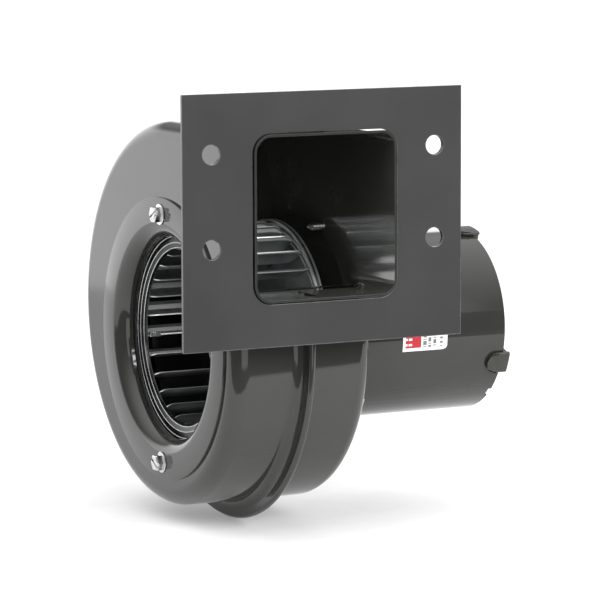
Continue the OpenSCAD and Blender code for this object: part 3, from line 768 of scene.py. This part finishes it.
def build_back_disc():
    """The wheel's back disc: stiffening rings behind, a grooved band and three inner beads. Its
    inner face between the beads and the band's groove are painted dark as shade.
    """
    x = box_mm("wheel_back_disc")[0].x + RIM_BAND
    bore_r = 7.0
    stiffeners = (14.0, 25.4, 36.0)
    outline = [(x - 0.8, bore_r), (x, bore_r), (x, 12.0)]
    for radius in stiffeners:
        outline += [(x, radius - 1.2), (x + 1.0, radius - 0.4), (x + 1.0, radius + 0.4),
                    (x, radius + 1.2)]
    outline += [(x, 46.5)] + arc_points(x - 0.8, WHEEL_R - 0.8, 0.8, 0, 90, 6)
    outline += [(x - 1.0, WHEEL_R), (x - 1.2, WHEEL_R - 0.4), (x - 2.3, WHEEL_R - 0.4)]
    outline += [(x - 2.5, WHEEL_R), (x - RIM_BAND, WHEEL_R), (x - RIM_BAND, 47.7), (x - 0.8, 47.5)]
    beads = (46.2, 44.0, 41.8)
    for radius in beads:
        outline += arc_points(x - 0.75, radius, 0.5, 110, 250, 8)
    bm = bmesh.new()
    revolve(bm, outline, steps=200)
    for face in bm.faces:
        face_x = face.calc_center_median().x
        radius = face_radius(face)
        on_bead = any(abs(radius - bead) < 0.5 for bead in beads)
        in_groove = x - 2.4 < face_x < x - 1.1 and radius > 47.9
        on_face = face_x < x - 0.7 and radius < 47.4
        face.material_index = 1 if in_groove or (on_face and not on_bead) else 0
    add_piece("back_disc_pressed", bm, "wheel_back_disc", "rotor", [RIM_STEEL, DISC_PAINTED_SHADE])


def build_wheel():
    """The blades, the two rims and the balance clips."""
    build_blades()
    build_inlet_rim()
    build_back_disc()
    softened("wheel_balance_clips", 0.15, "rotor")


# Studio -----------------------------------------------------------------------------------


def build_floor():
    """A plain pale floor just under the blower, a long strip that runs away from the camera."""
    half_width, half_length = 0.7, 4.5
    forward = 4.4
    gap = 0.0002
    bm = bmesh.new()
    bmesh.ops.create_grid(bm, x_segments=1, y_segments=1, size=1)
    bmesh.ops.scale(bm, vec=(half_width, half_length, 1), verts=bm.verts)
    bmesh.ops.translate(bm, vec=(0, forward, cad_box[0][2] - gap), verts=bm.verts)
    bmesh.ops.rotate(bm, matrix=Matrix.Rotation(math.radians(-27), 3, "Z"), verts=bm.verts)
    mesh = bpy.data.meshes.new("floor")
    bm.to_mesh(mesh)
    bm.free()
    material = finish("floor_paper", grey(0.74), grey(0.78), (0.8, 0.9), bump=0.02, specular=0.1)
    shader = material.node_tree.nodes["Principled BSDF"]
    shader.inputs["Emission Color"].default_value = (1, 1, 1, 1)
    shader.inputs["Emission Strength"].default_value = 0.22
    mesh.materials.append(material)
    floor = bpy.data.objects.new("floor", mesh)
    scene.collection.objects.link(floor)


def add_light(name, place, aim, size, power):
    """A soft rectangular light at place, pointing at aim."""
    data = bpy.data.lights.new(name, "AREA")
    data.shape = "RECTANGLE"
    data.size, data.size_y = size
    data.energy = power
    data.color = (1, 0.985, 1)
    light = bpy.data.objects.new(name, data)
    light.location = place
    direction = Vector(aim) - Vector(place)
    light.rotation_euler = direction.to_track_quat("-Z", "Y").to_euler()
    scene.collection.objects.link(light)
    return light


def build_world():
    """A pale room. Its strength is wall times fade plus ceiling: the wall behind the blower
    is bright up to a low height, and the ceiling brightens towards its middle."""
    wall = ("Y", 0.7, 0.83, 0.22, 2.15)
    fade = ("Z", 0.25, 0.38, 1.0, 0.0)
    ceiling = ("Z", 0.2, 1.0, 0.0, 2.0)
    world = bpy.data.worlds.new("studio")
    scene.world = world
    world.use_nodes = True
    tree = world.node_tree
    background = tree.nodes["Background"]
    coordinates = tree.nodes.new("ShaderNodeTexCoord")
    axes = tree.nodes.new("ShaderNodeSeparateXYZ")
    tree.links.new(coordinates.outputs["Generated"], axes.inputs[0])
    total = tree.nodes.new("ShaderNodeMath")
    total.operation = "MULTIPLY_ADD"
    for (axis, low, high, start, end), socket in zip((wall, fade, ceiling), total.inputs):
        level = tree.nodes.new("ShaderNodeMapRange")
        level.inputs["From Min"].default_value = low
        level.inputs["From Max"].default_value = high
        level.inputs["To Min"].default_value = start
        level.inputs["To Max"].default_value = end
        tree.links.new(axes.outputs[axis], level.inputs["Value"])
        tree.links.new(level.outputs[0], socket)
    tree.links.new(total.outputs[0], background.inputs["Strength"])
    background.inputs["Color"].default_value = (1, 0.985, 1, 1)


def build_studio():
    """The floor, the room and three soft lights. The left one stays out of reflections."""
    build_floor()
    build_world()
    add_light("front_box", (0.35, -1.25, 0.55), (0, 0.05, -0.05), (0.9, 0.6), 18)
    add_light("front_fill", (-0.3, -1.5, 0.05), (0, 0.05, -0.05), (1.2, 1.2), 6)
    left = add_light("left_box", (-1.1, -0.4, 1.1), (-0.02, 0.08, -0.05), (1.2, 1.2), 5)
    left.visible_glossy = False


def build_camera():
    """The camera: a long lens in front of the outlet, a little above it and off to -X."""
    azimuth, elevation, roll = (math.radians(a) for a in (-27.04, 7.07, -0.19))
    target = Vector((-0.01369, 0, -0.03927))
    distance = 1.41595
    back = Vector((math.sin(azimuth) * math.cos(elevation),
                   -math.cos(azimuth) * math.cos(elevation), math.sin(elevation)))
    right = Vector((0, 0, 1)).cross(back).normalized()
    up = back.cross(right)
    turned_right = right * math.cos(roll) + up * math.sin(roll)
    turned_up = up * math.cos(roll) - right * math.sin(roll)
    camera = bpy.data.objects.new("camera", bpy.data.cameras.new("camera"))
    camera.data.sensor_width = 36
    camera.data.lens = 213.8
    camera.data.clip_end = 30
    pose = Matrix((turned_right, turned_up, back)).transposed().to_4x4()
    pose.translation = target + back * distance
    camera.matrix_world = pose
    scene.collection.objects.link(camera)
    scene.camera = camera


# Build ------------------------------------------------------------------------------------

for node_name, node_object in frame["nodes"].items():
    node_object.data.materials.clear()
    node_object.data.materials.append(FINISHES[NODE_SLOT[node_name]])
build_housing()
build_inlet_ring()
build_screws()
build_motor()
build_wheel()
build_studio()
build_camera()
scene.view_settings.view_transform = "Standard"
